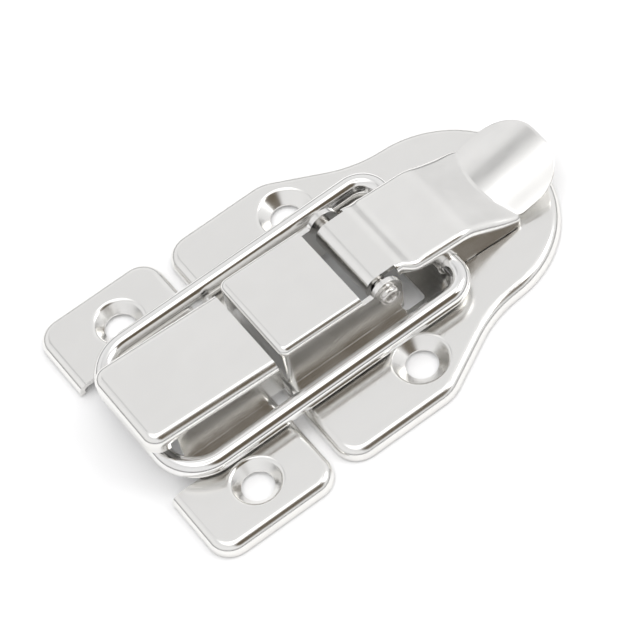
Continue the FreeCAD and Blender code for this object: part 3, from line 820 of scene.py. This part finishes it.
# %% [markdown]
# ## Nickel plate
#
# All five pieces are steel with a nickel coat, so one helper makes their finish. Nickel is
# a slightly warm white metal. Rolled sheet keeps faint lines along its length and a soft
# orange-peel from plating, and handling leaves small patches that are a little duller.
# Drawn wire is brighter and has none of the rolling lines, and the rolled pin is duller.

# %% Finish helper
def nickel(name, tint, polish, lines, peel):
    """Nickel coat: tint, roughness where it is clean, rolling lines and orange-peel."""
    material = bpy.data.materials.new(name)
    material.use_nodes = True
    tree = material.node_tree
    shader = tree.nodes["Principled BSDF"]
    shader.inputs["Metallic"].default_value = 1.0
    place = tree.nodes.new("ShaderNodeTexCoord").outputs["Object"]

    def noise(scale, detail, stretch=(1, 1, 1)):
        mapping = tree.nodes.new("ShaderNodeMapping")
        mapping.inputs["Scale"].default_value = stretch
        texture = tree.nodes.new("ShaderNodeTexNoise")
        texture.inputs["Scale"].default_value = scale
        texture.inputs["Detail"].default_value = detail
        tree.links.new(place, mapping.inputs["Vector"])
        tree.links.new(mapping.outputs["Vector"], texture.inputs["Vector"])
        return texture.outputs["Fac"]

    def spread(value, low, high, start=0.35, stop=0.65):
        ramp = tree.nodes.new("ShaderNodeMapRange")
        ramp.inputs["From Min"].default_value = start
        ramp.inputs["From Max"].default_value = stop
        ramp.inputs["To Min"].default_value = low
        ramp.inputs["To Max"].default_value = high
        tree.links.new(value, ramp.inputs["Value"])
        return ramp.outputs["Result"]

    patches = noise(140, 4)
    rolled = noise(900, 3, (0.06, 1, 1))
    mix = tree.nodes.new("ShaderNodeMix")
    mix.data_type = "RGBA"
    mix.inputs["A"].default_value = (*tint, 1)
    mix.inputs["B"].default_value = (*[c * 0.965 for c in tint], 1)
    tree.links.new(spread(patches, 0, 1), mix.inputs["Factor"])
    tree.links.new(mix.outputs["Result"], shader.inputs["Base Color"])
    rough = tree.nodes.new("ShaderNodeMath")
    rough.operation = "ADD"
    tree.links.new(spread(patches, polish, polish + 0.06), rough.inputs[0])
    tree.links.new(spread(rolled, 0, lines * 0.1), rough.inputs[1])
    tree.links.new(rough.outputs["Value"], shader.inputs["Roughness"])
    height = tree.nodes.new("ShaderNodeMath")
    height.operation = "ADD"
    tree.links.new(spread(rolled, 0, lines, 0, 1), height.inputs[0])
    tree.links.new(spread(noise(420, 2), 0, peel, 0, 1), height.inputs[1])
    bump = tree.nodes.new("ShaderNodeBump")
    bump.inputs["Strength"].default_value = 0.35
    bump.inputs["Distance"].default_value = 0.00002
    tree.links.new(height.outputs["Value"], bump.inputs["Height"])
    tree.links.new(bump.outputs["Normal"], shader.inputs["Normal"])
    print("finish", name)
    return material


sheet_nickel = nickel("satin_nickel_sheet", (0.867, 0.858, 0.836), 0.16, 0.22, 0.5)
wire_nickel = nickel("bright_nickel_wire", (0.875, 0.868, 0.853), 0.1, 0.0, 0.4)
pin_nickel = nickel("dull_nickel_pin", (0.72, 0.705, 0.68), 0.22, 0.0, 0.5)

# %% [markdown]
# ## Handing the pieces to the frame
#
# Each modelled piece rides on the CAD body it belongs to, takes the place of that CAD
# node and says which finish slot it stands for. The CAD nodes stay for the physics.

# %% Riding and replacing
for piece, body, node, slot, material in (
        (keeper, "mounting", "keeper_plate", "keeper_steel", sheet_nickel),
        (base, "mounting", "base_plate", "base_steel", sheet_nickel),
        (pin, "mounting", "pivot_pin", "pin_steel", pin_nickel),
        (lever, "lever", "lever", "lever_steel", sheet_nickel),
        (loop, "loop", "wire_loop", "wire_steel", wire_nickel)):
    piece.data.materials.clear()
    piece.data.materials.append(material)
    frame["nodes"][node].data.materials.clear()
    frame["nodes"][node].data.materials.append(material)
    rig.ride(piece, body)
    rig.replaces(piece, node)
    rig.slot(piece, slot)
    print(piece.name, "rides on", body)

# %% [markdown]
# ## Studio
#
# Bright metal shows the room, so the light is what draws it: a white floor, a soft sky
# with a brighter ring high up, and a dark band just over the horizon that gives every
# bend its thin dark line. Two soft dark flags hang in the sky, set for the view from the
# catalogue camera. A softbox lights the piece from the side, and one more light is for
# the floor alone: it is kept out of the metal's reflections.

# %% Floor
bpy.ops.object.select_all(action="DESELECT")
bpy.ops.mesh.primitive_plane_add(size=3, location=(0, 0, -0.0003))
floor = bpy.context.object
floor.name = "studio_floor"
white = bpy.data.materials.new("pale_floor")
white.use_nodes = True
surface = white.node_tree.nodes["Principled BSDF"]
for socket, value in (
        ("Base Color", (0.9, 0.9, 0.9, 1)), ("Roughness", 0.9), ("Specular IOR Level", 0.1),
        ("Emission Color", (1, 1, 1, 1)), ("Emission Strength", 0.04)):
    surface.inputs[socket].default_value = value
floor.data.materials.append(white)
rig.stage(floor)
print("floor:", tuple(floor.dimensions))

# %% Sky: brightness by height, from the horizon to straight up
scene = bpy.context.scene
world = bpy.data.worlds.new("studio")
scene.world = world
world.use_nodes = True
sky = world.node_tree
background = sky.nodes["Background"]
direction = sky.nodes.new("ShaderNodeTexCoord").outputs["Generated"]
split = sky.nodes.new("ShaderNodeSeparateXYZ")
sky.links.new(direction, split.inputs["Vector"])
dome = sky.nodes.new("ShaderNodeValToRGB")
stops = [(0.0, 0.9), (0.02, 0.16), (0.12, 0.2), (0.24, 0.85), (0.5, 0.93), (0.74, 0.9),
         (0.86, 0.8), (0.915, 1.0), (0.95, 1.7), (0.982, 1.7), (0.994, 0.95), (1.0, 0.93)]
for stop, (position, level) in zip(dome.color_ramp.elements, (stops[0], stops[-1])):
    stop.position = position
    stop.color = (level, level, level, 1)
for position, level in stops[1:-1]:
    stop = dome.color_ramp.elements.new(position)
    stop.color = (level, level, level * 1.01, 1)
sky.links.new(split.outputs["Z"], dome.inputs["Fac"])
print("sky stops:", len(dome.color_ramp.elements))

# %% Two flags: a dark band for the lip, and a warm dark patch for the near walls
light = dome.outputs["Color"]
for place, inner, outer, tone in (
        ((-0.04, 0.60, 0.80), 0.04, 0.16, (0.56, 0.56, 0.56)),
        ((0.19, -0.60, 0.78), 0.26, 0.52, (0.15, 0.122, 0.088))):
    flag = sky.nodes.new("ShaderNodeVectorMath")
    flag.operation = "DISTANCE"
    flag.inputs[1].default_value = Vector(place).normalized()
    sky.links.new(direction, flag.inputs[0])
    shade = sky.nodes.new("ShaderNodeMapRange")
    shade.interpolation_type = "SMOOTHSTEP"
    shade.inputs["From Min"].default_value = inner
    shade.inputs["From Max"].default_value = outer
    sky.links.new(flag.outputs["Value"], shade.inputs["Value"])
    tinted = sky.nodes.new("ShaderNodeMix")
    tinted.data_type = "RGBA"
    tinted.inputs["A"].default_value = (*tone, 1)
    tinted.inputs["B"].default_value = (1, 1, 1, 1)
    sky.links.new(shade.outputs["Result"], tinted.inputs["Factor"])
    dimmed = sky.nodes.new("ShaderNodeMix")
    dimmed.data_type = "RGBA"
    dimmed.blend_type = "MULTIPLY"
    dimmed.inputs["Factor"].default_value = 1
    sky.links.new(light, dimmed.inputs["A"])
    sky.links.new(tinted.outputs["Result"], dimmed.inputs["B"])
    light = dimmed.outputs["Result"]
sky.links.new(light, background.inputs["Color"])
background.inputs["Strength"].default_value = 1.0
print("flags hung")

# %% Side softbox and floor light
def area_light(name, place, size, watts, rotation=(0, 0, 0)):
    """Rectangular light that shines straight down unless it is turned."""
    bpy.ops.object.light_add(type="AREA", location=place, rotation=rotation)
    lamp = bpy.context.object
    lamp.name = name
    lamp.data.shape = "RECTANGLE"
    lamp.data.size, lamp.data.size_y = size
    lamp.data.energy = watts
    return lamp


SOFTBOX_PLACE = Vector((0.46, -0.2, 0.56))
area_light("side_softbox", SOFTBOX_PLACE, (0.36, 0.3), 0.9,
           SOFTBOX_PLACE.to_track_quat("Z", "Y").to_euler())
floor_light = area_light("floor_light", (0.05, -0.05, 0.8), (1.3, 1.3), 3.4)
floor_light.visible_glossy = False
print("studio ready")

# %% [markdown]
# ## Camera
#
# A long lens from above the keeper's near corner keeps the two plates almost parallel.

# %% Camera
bpy.ops.object.camera_add()
camera = bpy.context.object
camera.name = "catalogue_camera"
camera.matrix_world = Matrix((
    (0.80120136, 0.56009982, -0.21062899, -0.141146),
    (-0.57763923, 0.63201491, -0.51661405, -0.334656),
    (-0.15623478, 0.53557945, 0.82990683, 0.536290),
    (0, 0, 0, 1)))
camera.data.sensor_width = 36
camera.data.lens = 191.83
camera.data.clip_start = 0.01
scene.camera = camera
scene.view_settings.view_transform = "Standard"

# %% Sizes of the CAD and of the modelled pieces, written to extents.json
json.dump({"cad": cad_box, "visual": [list(corner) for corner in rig.bounds()]},
          open("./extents.json", "w"))
print(open("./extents.json").read())
